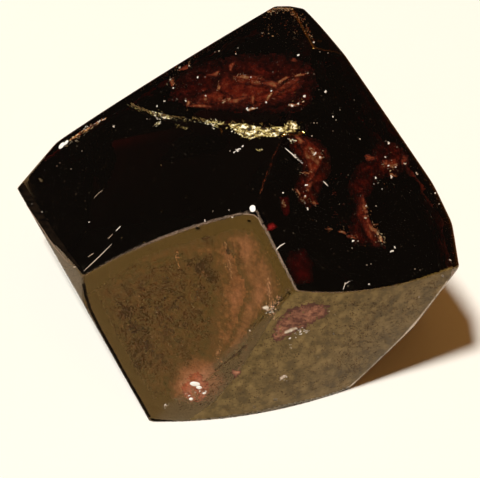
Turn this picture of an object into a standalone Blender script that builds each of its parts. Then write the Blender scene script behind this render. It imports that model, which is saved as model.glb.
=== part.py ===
"""Garnet crystal: one loose, polished crystal of dark red garnet.

The stone is a single natural piece.  Its surface is a closed set of ground and
polished facets, some flat and some slightly domed, that meet in softly worn
edges.  Each facet is described the way a stone cutter would note it: the
compass direction and the tilt it faces, how far it stands from the middle of
the stone, and the crown of its dome.

Lengths below are in millimetres, angles in degrees.  An azimuth of 0 faces +X
and 90 faces +Y (the back); an elevation of 90 faces straight up.
"""

import math

import bmesh
import bpy
import numpy as np

MM = 0.001

# ---------------------------------------------------------------- dimensions
MIDDLE_HEIGHT = 10.0   # the stone's middle, above the face that it rests on
EDGE_WEAR = 0.08       # how far polishing has softened the edges
REST_FLATNESS = 0.004  # points this close to the resting face lie in it

# name: (azimuth, elevation, reach from the middle)
FACETS = {
    # the five large faces at the front and on top
    "upper_left":      (-142.0, 41.0, 5.60),
    "upper_right":     (-77.5, 40.5, 7.90),
    "lower_left":      (-116.5, 20.5, 6.15),
    "lower_right":     (-78.5, -4.0, 8.50),
    "left_sliver":     (-146.5, 13.0, 8.85),
    # the left side
    "left_under":      (-153.5, -14.5, 10.80),
    "left_tip":        (144.0, 26.5, 10.15),
    "back_left":       (118.5, 28.5, 7.80),
    # the right side, with two small cuts that round off its widest corner
    "back_right":      (34.0, 17.0, 8.60),
    "right_corner_a":  (25.0, 13.5, 9.70),
    "right_corner_b":  (13.0, 2.5, 11.05),
    "right_under_a":   (-22.5, -20.0, 12.85),
    "right_under_b":   (-32.0, -27.0, 12.85),
    # the small cuts around the peak
    "peak_front":      (-37.5, 72.0, 12.25),
    "peak_right":      (38.0, 22.0, 9.40),
    "peak_back":       (81.0, 30.5, 9.70),
    # the back and the faces under it
    "back":            (97.0, 6.0, 9.60),
    "under_right":     (52.0, -30.0, 10.60),
    "under_left":      (136.0, -34.0, 11.80),
    "under_back":      (95.0, -48.0, 11.60),
    # the flat face that the stone rests on
    "rest":            (0.0, -90.0, MIDDLE_HEIGHT),
}

# Domed facets.  name: (crown across, crown up, crown height, half width, lean)
# The crown is measured on the facet from the foot of its reach.  The facet is
# highest there and back at its stated reach one half width away.  A lean makes
# it a barrel whose axis leans that far from upright; None makes it a dome.
CROWNS = {
    "upper_left":   (-1.9, -0.5, 0.29, 6.4, -54.0),
    "upper_right":  (4.4, 0.2, 0.11, 7.5, None),
    "lower_left":   (0.8, -3.6, 0.13, 8.0, None),
    "lower_right":  (2.8, -3.5, 0.60, 4.9, 30.5),
    "back":         (0.0, 0.0, 0.12, 6.0, None),
    "under_left":   (0.0, 0.0, 0.10, 6.0, None),
    "under_right":  (0.0, 0.0, 0.12, 6.0, None),
}

# mesh fineness
BASE_DETAIL = 4        # first even net of points over the stone
EDGE_PASSES = 4        # times the net is made finer along the edges
TURN_LIMIT = 16.0      # a net line over which the surface turns more is cut


def unit(azimuth, elevation):
    a, e = math.radians(azimuth), math.radians(elevation)
    return np.array([math.cos(e) * math.cos(a), math.cos(e) * math.sin(a), math.sin(e)])


def tangents(normal):
    """The level line in a facet, pointing to the facet's right, and the line up its slope."""
    if abs(normal[2]) > 0.999:
        return np.array([1.0, 0.0, 0.0]), np.array([0.0, 1.0, 0.0])
    level = np.cross([0.0, 0.0, 1.0], normal)
    level /= np.linalg.norm(level)
    return level, np.cross(normal, level)


class Facet:
    """A plane, or a shallow dome or barrel on it, in millimetres from the stone's middle."""

    def __init__(self, azimuth, elevation, reach, crown=None):
        self.normal = unit(azimuth, elevation)
        self.reach = reach
        level, slope = tangents(self.normal)
        self.across, self.along = level, slope
        self.crown = self.normal * reach
        self.height = self.bend_across = self.bend_along = 0.0
        if crown:
            right, up, height, half, lean = crown
            self.crown = self.crown + level * right + slope * up
            self.height = height
            self.bend_across = self.bend_along = height / half ** 2
            if lean is not None:
                t = math.radians(lean)
                self.along = level * math.sin(t) + slope * math.cos(t)
                self.across = np.cross(self.along, self.normal)
                self.bend_along = 0.0

    def stand(self, points):
        """How far points stand outside the facet."""
        q = points - self.crown
        return (
            points @ self.normal - self.reach - self.height
            + self.bend_across * (q @ self.across) ** 2
            + self.bend_along * (q @ self.along) ** 2
        )

    def lean_out(self, points):
        """The facet's slope at points."""
        q = points - self.crown
        return (
            self.normal
            + 2 * self.bend_across * (q @ self.across)[:, None] * self.across
            + 2 * self.bend_along * (q @ self.along)[:, None] * self.along
        )


STONE = [Facet(*FACETS[name], CROWNS.get(name)) for name in FACETS]


def outside(points):
    """Positive outside the stone.  The facets are blended, so that their edges are worn round."""
    stands = np.stack([facet.stand(points) for facet in STONE], axis=1)
    top = stands.max(axis=1, keepdims=True)
    return top[:, 0] + EDGE_WEAR * np.log(np.exp((stands - top) / EDGE_WEAR).sum(axis=1))


def normals(points):
    stands = np.stack([facet.stand(points) for facet in STONE], axis=1)
    share = np.exp((stands - stands.max(axis=1, keepdims=True)) / EDGE_WEAR)
    share /= share.sum(axis=1, keepdims=True)
    slopes = np.stack([facet.lean_out(points) for facet in STONE], axis=1)
    result = (share[:, :, None] * slopes).sum(axis=1)
    return result / np.linalg.norm(result, axis=1, keepdims=True)


def surface(directions):
    """Where lines from the stone's middle leave it."""
    near = np.zeros(len(directions))
    far = np.full(len(directions), 30.0)
    for _ in range(44):
        half = (near + far) / 2
        inside = outside(directions * half[:, None]) < 0
        near = np.where(inside, half, near)
        far = np.where(inside, far, half)
    points = directions * near[:, None]
    flat = points[:, 2] < REST_FLATNESS - MIDDLE_HEIGHT
    points[flat, 2] = -MIDDLE_HEIGHT
    return points


def directions_of(bm):
    points = np.array([v.co[:] for v in bm.verts])
    return points / np.linalg.norm(points, axis=1, keepdims=True)


def build_net():
    """An even net of points on a ball, cut finer where the stone's surface turns quickly."""
    bm = bmesh.new()
    bmesh.ops.create_icosphere(bm, subdivisions=BASE_DETAIL, radius=1.0)
    for _ in range(EDGE_PASSES):
        bm.verts.ensure_lookup_table()
        bm.verts.index_update()
        points = surface(directions_of(bm))
        facing = normals(points)
        limit = math.cos(math.radians(TURN_LIMIT))
        cut = []
        for edge in bm.edges:
            a, b = edge.verts[0].index, edge.verts[1].index
            if float(facing[a] @ facing[b]) < limit:
                cut.append(edge)
        bmesh.ops.subdivide_edges(bm, edges=cut, cuts=1)
        bmesh.ops.triangulate(bm, faces=[f for f in bm.faces if len(f.verts) > 3])
    return bm


def garnet_material():
    material = bpy.data.materials.new("garnet_dark_red")
    material.use_nodes = True
    shader = material.node_tree.nodes["Principled BSDF"]
    shader.inputs["Base Color"].default_value = (0.085, 0.012, 0.010, 1.0)
    shader.inputs["Roughness"].default_value = 0.06
    shader.inputs["Metallic"].default_value = 0.0
    shader.inputs["IOR"].default_value = 1.78
    material.diffuse_color = (0.16, 0.03, 0.03, 1.0)
    return material


def main():
    for old in list(bpy.data.objects):
        bpy.data.objects.remove(old, do_unlink=True)

    bm = build_net()
    points = surface(directions_of(bm))
    # The origin is under the middle of the stone's outline, on the resting face.
    low, high = points.min(axis=0), points.max(axis=0)
    points -= np.array([(low[0] + high[0]) / 2, (low[1] + high[1]) / 2, -MIDDLE_HEIGHT])
    bm.verts.ensure_lookup_table()
    for vert, point in zip(bm.verts, points):
        vert.co = point * MM
    bmesh.ops.recalc_face_normals(bm, faces=bm.faces)

    mesh = bpy.data.meshes.new("garnet_crystal")
    bm.to_mesh(mesh)
    bm.free()
    mesh.shade_smooth()
    stone = bpy.data.objects.new("garnet_crystal", mesh)
    stone.data.materials.append(garnet_material())
    bpy.context.scene.collection.objects.link(stone)


main()
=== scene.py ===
"""The looks of one polished garnet crystal: dark red see-through stone with veils, flecks and a rusty crack."""

import math

import bmesh
import bpy
import numpy as np
from mathutils import Matrix, Vector, noise

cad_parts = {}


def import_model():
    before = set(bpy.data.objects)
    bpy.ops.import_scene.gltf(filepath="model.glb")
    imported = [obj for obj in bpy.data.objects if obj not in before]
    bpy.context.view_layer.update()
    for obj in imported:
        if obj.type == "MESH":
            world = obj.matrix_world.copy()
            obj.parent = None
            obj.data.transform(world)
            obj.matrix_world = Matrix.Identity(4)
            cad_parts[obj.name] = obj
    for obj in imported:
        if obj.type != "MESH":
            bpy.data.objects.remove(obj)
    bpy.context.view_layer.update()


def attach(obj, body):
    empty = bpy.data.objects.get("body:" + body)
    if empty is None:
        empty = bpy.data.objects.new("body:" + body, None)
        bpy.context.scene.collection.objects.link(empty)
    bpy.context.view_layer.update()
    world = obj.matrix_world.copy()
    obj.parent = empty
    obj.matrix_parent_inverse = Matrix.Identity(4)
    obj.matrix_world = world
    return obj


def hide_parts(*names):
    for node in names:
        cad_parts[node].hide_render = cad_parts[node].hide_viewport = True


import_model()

MM = 0.001

# ------------------------------------------------------------------ the stone
# The same facets as the solid, in millimetres and degrees from the stone's middle.
MIDDLE_HEIGHT = 10.0
EDGE_WEAR = 0.03

FACETS = {
    "upper_left": (-142.0, 41.0, 5.60),
    "upper_right": (-77.5, 40.5, 7.90),
    "lower_left": (-116.5, 20.5, 6.15),
    "lower_right": (-78.5, -4.0, 8.50),
    "left_sliver": (-146.5, 13.0, 8.85),
    "left_under": (-153.5, -14.5, 10.80),
    "left_tip": (144.0, 26.5, 10.15),
    "back_left": (118.5, 28.5, 7.80),
    "back_right": (34.0, 17.0, 8.60),
    "right_corner_a": (25.0, 13.5, 9.70),
    "right_corner_b": (13.0, 2.5, 11.05),
    "right_under_a": (-22.5, -20.0, 12.85),
    "right_under_b": (-32.0, -27.0, 12.85),
    "peak_front": (-37.5, 72.0, 12.25),
    "peak_right": (38.0, 22.0, 9.40),
    "peak_back": (81.0, 30.5, 9.70),
    "back": (97.0, 6.0, 9.60),
    "under_right": (52.0, -30.0, 10.60),
    "under_left": (136.0, -34.0, 11.80),
    "under_back": (95.0, -48.0, 11.60),
    "rest": (0.0, -90.0, MIDDLE_HEIGHT),
}
CROWNS = {
    "upper_left": (-1.9, -0.5, 0.29, 6.4, -54.0),
    "upper_right": (4.4, 0.2, 0.11, 7.5, None),
    "lower_left": (0.8, -3.6, 0.13, 8.0, None),
    "lower_right": (2.8, -3.5, 0.60, 4.9, 30.5),
    "back": (0.0, 0.0, 0.12, 6.0, None),
    "under_left": (0.0, 0.0, 0.10, 6.0, None),
    "under_right": (0.0, 0.0, 0.12, 6.0, None),
}


def unit(azimuth, elevation):
    a, e = math.radians(azimuth), math.radians(elevation)
    return np.array([math.cos(e) * math.cos(a), math.cos(e) * math.sin(a), math.sin(e)])


def tangents(normal):
    if abs(normal[2]) > 0.999:
        return np.array([1.0, 0.0, 0.0]), np.array([0.0, 1.0, 0.0])
    level = np.cross([0.0, 0.0, 1.0], normal)
    level /= np.linalg.norm(level)
    return level, np.cross(normal, level)


class Facet:
    def __init__(self, azimuth, elevation, reach, crown=None):
        self.normal = unit(azimuth, elevation)
        self.reach = reach
        level, slope = tangents(self.normal)
        self.across, self.along = level, slope
        self.crown = self.normal * reach
        self.height = self.bend_across = self.bend_along = 0.0
        if crown:
            right, up, height, half, lean = crown
            self.crown = self.crown + level * right + slope * up
            self.height = height
            self.bend_across = self.bend_along = height / half ** 2
            if lean is not None:
                t = math.radians(lean)
                self.along = level * math.sin(t) + slope * math.cos(t)
                self.across = np.cross(self.along, self.normal)
                self.bend_along = 0.0


NAMES = list(FACETS)
STONE = [Facet(*FACETS[name], CROWNS.get(name)) for name in NAMES]


FACING = np.array([f.normal for f in STONE])
ACROSS = np.array([f.across for f in STONE])
ALONG = np.array([f.along for f in STONE])
STANDOFF = np.array([f.reach + f.height for f in STONE])
CROWN_ACROSS = np.array([f.crown @ f.across for f in STONE])
CROWN_ALONG = np.array([f.crown @ f.along for f in STONE])
BEND_ACROSS = np.array([f.bend_across for f in STONE])
BEND_ALONG = np.array([f.bend_along for f in STONE])


def stands(p):
    """How far points stand outside each facet."""
    return (p @ FACING.T - STANDOFF + BEND_ACROSS * (p @ ACROSS.T - CROWN_ACROSS) ** 2
            + BEND_ALONG * (p @ ALONG.T - CROWN_ALONG) ** 2)


def level(p):
    """How far points stand outside the plain stone, whose edges are worn round."""
    s = stands(p)
    top = s.max(axis=1, keepdims=True)
    return top[:, 0] + EDGE_WEAR * np.log(np.exp((s - top) / EDGE_WEAR).sum(axis=1))


def slope(p):
    """The plain stone's outward slope at points."""
    s = stands(p)
    share = np.exp((s - s.max(axis=1, keepdims=True)) / EDGE_WEAR)
    share /= share.sum(axis=1, keepdims=True)
    return (share @ FACING + (2 * share * BEND_ACROSS * (p @ ACROSS.T - CROWN_ACROSS)) @ ACROSS
            + (2 * share * BEND_ALONG * (p @ ALONG.T - CROWN_ALONG)) @ ALONG)


def facing(p):
    n = slope(p)
    return n / np.linalg.norm(n, axis=1, keepdims=True)


def settle(directions, offset=None):
    """Points along directions from the stone's middle where the field equals minus the offset."""
    n = len(directions)
    low, high = np.zeros(n), np.full(n, 28.0)
    want = np.zeros(n) if offset is None else -offset
    for _ in range(16):
        half = (low + high) / 2
        inside = level(directions * half[:, None]) < want
        low = np.where(inside, half, low)
        high = np.where(inside, high, half)
    t = high
    for _ in range(3):
        p = directions * t[:, None]
        t = t - (level(p) - want) / np.maximum((slope(p) * directions).sum(axis=1), 0.05)
    return directions * t[:, None]


# ------------------------------------------------------------------ camera
# The view looks along +Y and down; one pixel of the 480 x 478 frame is 0.06 mm at the stone.
LOOK_DOWN = math.radians(50.0)
VIEW_DISTANCE = 135.0
FOCAL_PIXELS = 2250.0
CENTRE_X, CENTRE_Y = 240.0, 239.0
FORWARD = np.array([0.0, math.cos(LOOK_DOWN), -math.sin(LOOK_DOWN)])
RIGHT = np.array([1.0, 0.0, 0.0])
UP = np.array([0.0, math.sin(LOOK_DOWN), math.cos(LOOK_DOWN)])
EYE = np.array([0.28, -87.32, 100.51])  # from the stone's middle, mm


class PhotoView:
    """The main view, in perspective, by the frame's pixels."""

    right, up, forward = RIGHT, UP, FORWARD

    def rays(self, pixels):
        x = (pixels[:, 0] - CENTRE_X) / FOCAL_PIXELS
        y = (pixels[:, 1] - CENTRE_Y) / FOCAL_PIXELS
        d = FORWARD + np.outer(x, RIGHT) - np.outer(y, UP)
        d /= np.linalg.norm(d, axis=1, keepdims=True)
        return EYE + d * 100.0, d


class SideView:
    """A parallel view of another side, in steps of 0.06 mm from the stone's middle."""

    def __init__(self, azimuth, elevation):
        out = unit(azimuth, elevation)
        self.forward = -out
        self.right, self.up = tangents(out)

    def rays(self, pixels):
        start = -self.forward * 32.0 + np.outer(pixels[:, 0] * 0.06, self.right) - np.outer(pixels[:, 1] * 0.06, self.up)
        return start, np.broadcast_to(self.forward, start.shape).copy()


def seen(pixels, view=None):
    """Where lines of sight meet the stone: points, outward normals, directions, and which of them hit."""
    start, d = (view or PhotoView()).rays(np.asarray(pixels, float))
    a, b = np.zeros(len(d)), np.full(len(d), 65.0)
    for _ in range(26):
        m1, m2 = a + (b - a) / 3, b - (b - a) / 3
        lower = level(start + d * m1[:, None]) < level(start + d * m2[:, None])
        b = np.where(lower, m2, b)
        a = np.where(lower, a, m1)
    deep = (a + b) / 2
    hit = level(start + d * deep[:, None]) < -0.02
    low, high = np.zeros(len(d)), deep
    for _ in range(22):
        half = (low + high) / 2
        outside = level(start + d * half[:, None]) > 0
        low = np.where(outside, half, low)
        high = np.where(outside, high, half)
    p = start + d * high[:, None]
    n = facing(p)
    hit &= (d * n).sum(axis=1) < -0.02
    return p, n, d, hit


def pixels_of(points):
    """The frame's pixels of points on the stone."""
    q = points - EYE
    deep = q @ FORWARD
    return np.stack([CENTRE_X + FOCAL_PIXELS * (q @ RIGHT) / deep, CENTRE_Y - FOCAL_PIXELS * (q @ UP) / deep], axis=1)


IOR = 1.78


def bent(d, n):
    """Directions of sight after they enter the stone."""
    cos_in = np.clip(-(d * n).sum(axis=1, keepdims=True), 0.0, 1.0)
    ratio = 1.0 / IOR
    return ratio * d + (ratio * cos_in - np.sqrt(1 - ratio ** 2 * (1 - cos_in ** 2))) * n


def chain(pixels, step=1.0):
    """Pixels evenly along a broken line."""
    pixels = np.array(pixels, float)
    out = []
    for a, b in zip(pixels[:-1], pixels[1:]):
        count = max(int(np.hypot(*(b - a)) / step), 1)
        for i in range(count):
            out.append(a + (b - a) * i / count)
    out.append(pixels[-1])
    return np.array(out)


def inside_polygon(points, polygon):
    x, y = points[:, 0], points[:, 1]
    result = np.zeros(len(points), bool)
    poly = np.array(polygon, float)
    for (x0, y0), (x1, y1) in zip(poly, np.roll(poly, -1, axis=0)):
        if y0 == y1:
            continue
        between = (y0 > y) != (y1 > y)
        result ^= between & (x < x0 + (y - y0) * (x1 - x0) / (y1 - y0))
    return result


def soft_mask(points, polygon, soft):
    """0 at an outline and 1 from a soft width inside it."""
    poly = np.array(polygon, float)
    gap = np.full(len(points), 1e9)
    for a, b in zip(poly, np.roll(poly, -1, axis=0)):
        run = b - a
        t = np.clip(((points - a) @ run) / (run @ run), 0, 1)
        gap = np.minimum(gap, np.hypot(*(points - a - t[:, None] * run).T))
    t = np.clip(gap / soft, 0, 1)
    return t * t * (3 - 2 * t)


def grain3(points, scale, seed, octaves=3):
    """Smooth noise in space, about -0.5 to 0.5."""
    return np.array([noise.fractal(Vector((x * scale + seed, y * scale - seed, z * scale + 2 * seed)), 1.0, 2.0, octaves)
                     for x, y, z in points]) * 0.6


def flat_grain(u, v, seed, octaves=3):
    """Smooth noise in a plane, about -0.5 to 0.5."""
    return np.array([noise.fractal(Vector((x, y, seed * 3.71)), 1.0, 2.0, octaves) for x, y in zip(u, v)]) * 0.6


# ------------------------------------------------------------------ wear on the surface
# Each groove: line in the frame's pixels, half width mm, depth mm, roughness of its edges.
GROOVES = [
    ([(130, 105), (147, 113), (165, 117), (190, 119), (235, 126), (262, 128), (300, 130)], 0.16, 0.07, 0.7),
    ([(224, 127), (262, 129), (298, 128)], 0.40, 0.10, 0.8),
    ([(277, 145), (266, 172), (258, 193)], 0.04, 0.02, 0.4),
    ([(88, 267), (112, 244)], 0.035, 0.03, 0.2),
    ([(108, 238), (120, 227)], 0.03, 0.02, 0.2),
    ([(94, 198), (103, 190)], 0.03, 0.02, 0.2),
    ([(247, 342), (241, 352), (232, 358), (222, 366)], 0.08, 0.06, 0.7),
    ([(214, 374), (203, 383)], 0.08, 0.05, 0.6),
    ([(262, 318), (252, 328), (250, 340)], 0.07, 0.05, 0.7),
    ([(268, 312), (281, 300), (290, 291)], 0.09, 0.05, 0.8),
    ([(62, 145), (74, 138), (88, 129)], 0.13, 0.09, 0.5),
]
RIDGE = [(291, 289), (281, 300), (268, 313), (253, 327), (244, 347), (222, 366), (200, 384), (178, 402), (157, 418)]
rng = np.random.default_rng(7)
PITS = []  # centre, radius mm, depth mm


def place_grooves():
    lines = []
    for pixels, half, depth, rough in GROOVES:
        p, _n, _d, hit = seen(chain(pixels, 2.0))
        lines.append((p[hit], half, depth, rough))
    return lines


def place_pits():
    picks = chain(RIDGE, 1.0)
    picks = picks[rng.choice(len(picks), 18, replace=False)] + rng.normal(0, 1.6, (18, 2))
    p, _n, _d, hit = seen(picks)
    for q in p[hit]:
        PITS.append((q, rng.uniform(0.06, 0.16), rng.uniform(0.01, 0.04)))
    d = rng.normal(size=(260, 3))
    d /= np.linalg.norm(d, axis=1, keepdims=True)
    for q in settle(d):
        if q[2] > -MIDDLE_HEIGHT + 0.4:
            PITS.append((q, rng.uniform(0.035, 0.12), rng.uniform(0.01, 0.035)))


LINES = place_grooves()
place_pits()


def worn(points):
    """How deep the wear goes at points on the stone, mm."""
    depth = np.zeros(len(points))
    for line, half, deep, rough in LINES:
        low, high = line.min(axis=0) - 3 * half, line.max(axis=0) + 3 * half
        box = ((points > low) & (points < high)).all(axis=1)
        if not box.any():
            continue
        p = points[box]
        gap = np.sqrt(((p[:, None, :] - line[None]) ** 2).sum(axis=2).min(axis=1))
        close = gap < 2.6 * half
        if not close.any():
            continue
        rag = np.zeros(len(p))
        rag[close] = grain3(p[close], 2.2, half * 31, 3)
        width = half * (1 + rough * rag)
        cut = deep * np.clip(1 - (gap / np.maximum(width, 0.3 * half)) ** 2, 0, 1) * (1 + 0.5 * rag)
        depth[box] = np.maximum(depth[box], cut)
    for centre, radius, deep in PITS:
        box = (np.abs(points - centre) < radius).all(axis=1)
        if box.any():
            gap = np.linalg.norm(points[box] - centre, axis=1)
            depth[box] = np.maximum(depth[box], deep * np.clip(1 - (gap / radius) ** 2, 0, 1))
    return depth


# ------------------------------------------------------------------ the fine surface
def refine(dirs, faces, edges_to_cut):
    """Splits the chosen edges of a closed triangle net, and the triangles on them."""
    pairs = np.sort(np.concatenate([faces[:, [0, 1]], faces[:, [1, 2]], faces[:, [2, 0]]]), axis=1)
    unique, inverse = np.unique(pairs, axis=0, return_inverse=True)
    inverse = inverse.reshape(3, -1)  # edge ids of each face: 01, 12, 20
    chosen = edges_to_cut(unique)
    new_id = np.full(len(unique), -1)
    new_id[chosen] = len(dirs) + np.arange(chosen.sum())
    mid = dirs[unique[chosen, 0]] + dirs[unique[chosen, 1]]
    mid /= np.linalg.norm(mid, axis=1, keepdims=True)
    m = new_id[inverse].T  # per face, the new vertex on 01, 12, 20 or -1
    out = []
    key = (m >= 0) @ np.array([1, 2, 4])
    out.append(faces[key == 0])
    a = key == 7
    f, e = faces[a], m[a]
    out += [np.stack([f[:, 0], e[:, 0], e[:, 2]], 1), np.stack([e[:, 0], f[:, 1], e[:, 1]], 1),
            np.stack([e[:, 2], e[:, 1], f[:, 2]], 1), e]
    for k in range(3):
        a = key == (1, 2, 4)[k]
        f, e = np.roll(faces[a], -k, axis=1), np.roll(m[a], -k, axis=1)
        out += [np.stack([f[:, 0], e[:, 0], f[:, 2]], 1), np.stack([e[:, 0], f[:, 1], f[:, 2]], 1)]
    for k in range(3):
        a = key == (3, 6, 5)[k]  # edges k and k+1 are cut
        f, e = np.roll(faces[a], -k, axis=1), np.roll(m[a], -k, axis=1)
        out += [np.stack([e[:, 0], f[:, 1], e[:, 1]], 1), np.stack([f[:, 0], e[:, 0], e[:, 1]], 1),
                np.stack([f[:, 0], e[:, 1], f[:, 2]], 1)]
    return np.concatenate([dirs, mid]), np.concatenate(out)


def build_stone():
    bm = bmesh.new()
    bmesh.ops.create_icosphere(bm, subdivisions=6, radius=1.0)
    dirs = np.array([v.co[:] for v in bm.verts])
    dirs /= np.linalg.norm(dirs, axis=1, keepdims=True)
    faces = np.array([[v.index for v in f.verts] for f in bm.faces])
    bm.free()
    for turn, shortest in ((3.0, 0.10), (3.0, 0.065), (4.0, 0.042)):
        points = settle(dirs)
        n = facing(points)
        depth = worn(points) > 0

        def choose(edges, points=points, n=n, depth=depth):
            a, b = edges[:, 0], edges[:, 1]
            length = np.linalg.norm(points[a] - points[b], axis=1)
            bends = (n[a] * n[b]).sum(axis=1) < math.cos(math.radians(turn))
            marked = (depth[a] | depth[b]) & (length > 0.075)
            return (bends & (length > shortest)) | marked

        dirs, faces = refine(dirs, faces, choose)
    plain = settle(dirs)
    depth = worn(plain)
    touched = depth > 0
    points = plain.copy()
    if touched.any():
        points[touched] = settle(dirs[touched], depth[touched])
    points[points[:, 2] < -MIDDLE_HEIGHT + 0.004, 2] = -MIDDLE_HEIGHT
    return points, faces, plain


POINTS, FACES, PLAIN = build_stone()
LOW, HIGH = POINTS.min(axis=0), POINTS.max(axis=0)
SHIFT = -np.array([(LOW[0] + HIGH[0]) / 2, (LOW[1] + HIGH[1]) / 2, -MIDDLE_HEIGHT])


def world(points):
    """From the stone's middle in mm to the row frame in metres."""
    return (np.asarray(points) + SHIFT) * MM


def mesh_object(name, verts, faces, materials, smooth=False, slots=None, **values):
    mesh = bpy.data.meshes.new(name)
    mesh.from_pydata(world(verts).tolist(), [], np.asarray(faces).tolist() if isinstance(faces, np.ndarray) else faces)
    mesh.update()
    for m in materials:
        mesh.materials.append(m)
    if slots is not None:
        mesh.polygons.foreach_set("material_index", np.asarray(slots, np.int32))
    for key, numbers in values.items():
        mesh.attributes.new(key, "FLOAT", "POINT").data.foreach_set("value", np.asarray(numbers, np.float32))
    if smooth:
        mesh.shade_smooth()
    else:
        mesh.shade_flat()
    obj = bpy.data.objects.new(name, mesh)
    bpy.context.scene.collection.objects.link(obj)
    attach(obj, "root")
    return obj


# ------------------------------------------------------------------ materials
def new_material(name):
    material = bpy.data.materials.new(name)
    material.use_nodes = True
    tree = material.node_tree
    shader = tree.nodes["Principled BSDF"]
    return material, tree, shader


def node(tree, kind, **values):
    n = tree.nodes.new(kind)
    for key, value in values.items():
        if key in n.inputs:
            n.inputs[key].default_value = value
        else:
            setattr(n, key, value)
    return n


def garnet_material():
    """Red glass-clear stone.  The mesh value "wear" is 0 where the polish is clean and 1 where it is rubbed dull."""
    material, tree, shader = new_material("garnet_glass")
    link = tree.links.new
    shader.inputs["Base Color"].default_value = (1.0, 0.90, 0.85, 1.0)
    shader.inputs["Transmission Weight"].default_value = 0.998
    shader.inputs["IOR"].default_value = IOR
    shader.inputs["Specular Tint"].default_value = (1.0, 0.58, 0.12, 1.0)
    place = node(tree, "ShaderNodeTexCoord")
    wear = node(tree, "ShaderNodeAttribute", attribute_name="wear")
    # the dull film breaks up into fine spots
    spots = node(tree, "ShaderNodeTexNoise", Scale=2600.0, Detail=4.0, Roughness=0.6)
    link(place.outputs["Object"], spots.inputs["Vector"])
    spread = node(tree, "ShaderNodeMapRange")
    spread.inputs["From Min"].default_value = 0.35
    spread.inputs["From Max"].default_value = 0.68
    spread.inputs["To Min"].default_value = 0.15
    spread.inputs["To Max"].default_value = 0.62
    link(spots.outputs["Fac"], spread.inputs["Value"])
    dull = node(tree, "ShaderNodeMath", operation="MULTIPLY_ADD")
    link(wear.outputs["Fac"], dull.inputs[0])
    link(spread.outputs["Result"], dull.inputs[1])
    patches = node(tree, "ShaderNodeTexNoise", Scale=420.0, Detail=3.0, Roughness=0.6)
    link(place.outputs["Object"], patches.inputs["Vector"])
    gloss = node(tree, "ShaderNodeMapRange")
    gloss.inputs["From Min"].default_value = 0.35
    gloss.inputs["From Max"].default_value = 0.75
    gloss.inputs["To Min"].default_value = 0.015
    gloss.inputs["To Max"].default_value = 0.08
    link(patches.outputs["Fac"], gloss.inputs["Value"])
    link(gloss.outputs["Result"], dull.inputs[2])
    link(dull.outputs["Value"], shader.inputs["Roughness"])
    # very fine scratches and the faint waviness of hand polishing
    stretch = node(tree, "ShaderNodeMapping")
    stretch.inputs["Scale"].default_value = (900.0, 6500.0, 2600.0)
    stretch.inputs["Rotation"].default_value = (0.4, 0.7, 0.9)
    link(place.outputs["Object"], stretch.inputs["Vector"])
    hair = node(tree, "ShaderNodeTexNoise", Scale=1.0, Detail=3.0, Roughness=0.55)
    link(stretch.outputs["Vector"], hair.inputs["Vector"])
    wave = node(tree, "ShaderNodeTexNoise", Scale=260.0, Detail=1.0, Roughness=0.4)
    link(place.outputs["Object"], wave.inputs["Vector"])
    bump_hair = node(tree, "ShaderNodeBump", Strength=0.06, Distance=0.00001)
    link(hair.outputs["Fac"], bump_hair.inputs["Height"])
    bump_wave = node(tree, "ShaderNodeBump", Strength=0.10, Distance=0.00008)
    link(wave.outputs["Fac"], bump_wave.inputs["Height"])
    link(bump_hair.outputs["Normal"], bump_wave.inputs["Normal"])
    link(bump_wave.outputs["Normal"], shader.inputs["Normal"])
    soak = node(tree, "ShaderNodeVolumeAbsorption")
    soak.inputs["Color"].default_value = (0.74, 0.10, 0.06, 1.0)
    soak.inputs["Density"].default_value = 1200.0
    link(soak.outputs["Volume"], tree.nodes["Material Output"].inputs["Volume"])
    return material


def toned(name, stops, scale, rough=0.6, specular=0.4, mottle=0.30):
    """A dull mineral.  The mesh value "tone" runs from dark to pale, and fine grain breaks it up."""
    material, tree, shader = new_material(name)
    link = tree.links.new
    place = node(tree, "ShaderNodeTexCoord")
    grain = node(tree, "ShaderNodeTexNoise", Scale=scale, Detail=4.0, Roughness=0.65)
    link(place.outputs["Object"], grain.inputs["Vector"])
    tone = node(tree, "ShaderNodeAttribute", attribute_name="tone")
    centred = node(tree, "ShaderNodeMath", operation="SUBTRACT")
    centred.inputs[1].default_value = 0.5
    link(grain.outputs["Fac"], centred.inputs[0])
    mixed = node(tree, "ShaderNodeMath", operation="MULTIPLY_ADD")
    mixed.inputs[1].default_value = mottle * 2
    link(centred.outputs["Value"], mixed.inputs[0])
    link(tone.outputs["Fac"], mixed.inputs[2])
    ramp = node(tree, "ShaderNodeValToRGB")
    ramp.color_ramp.elements[0].position = stops[0][0]
    ramp.color_ramp.elements[0].color = (*stops[0][1], 1.0)
    ramp.color_ramp.elements[1].position = stops[-1][0]
    ramp.color_ramp.elements[1].color = (*stops[-1][1], 1.0)
    for position, colour in stops[1:-1]:
        ramp.color_ramp.elements.new(position).color = (*colour, 1.0)
    link(mixed.outputs["Value"], ramp.inputs["Fac"])
    link(ramp.outputs["Color"], shader.inputs["Base Color"])
    bump = node(tree, "ShaderNodeBump", Strength=0.4, Distance=0.00003)
    link(grain.outputs["Fac"], bump.inputs["Height"])
    link(bump.outputs["Normal"], shader.inputs["Normal"])
    shader.inputs["Roughness"].default_value = rough
    shader.inputs["Specular IOR Level"].default_value = specular
    return material


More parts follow.
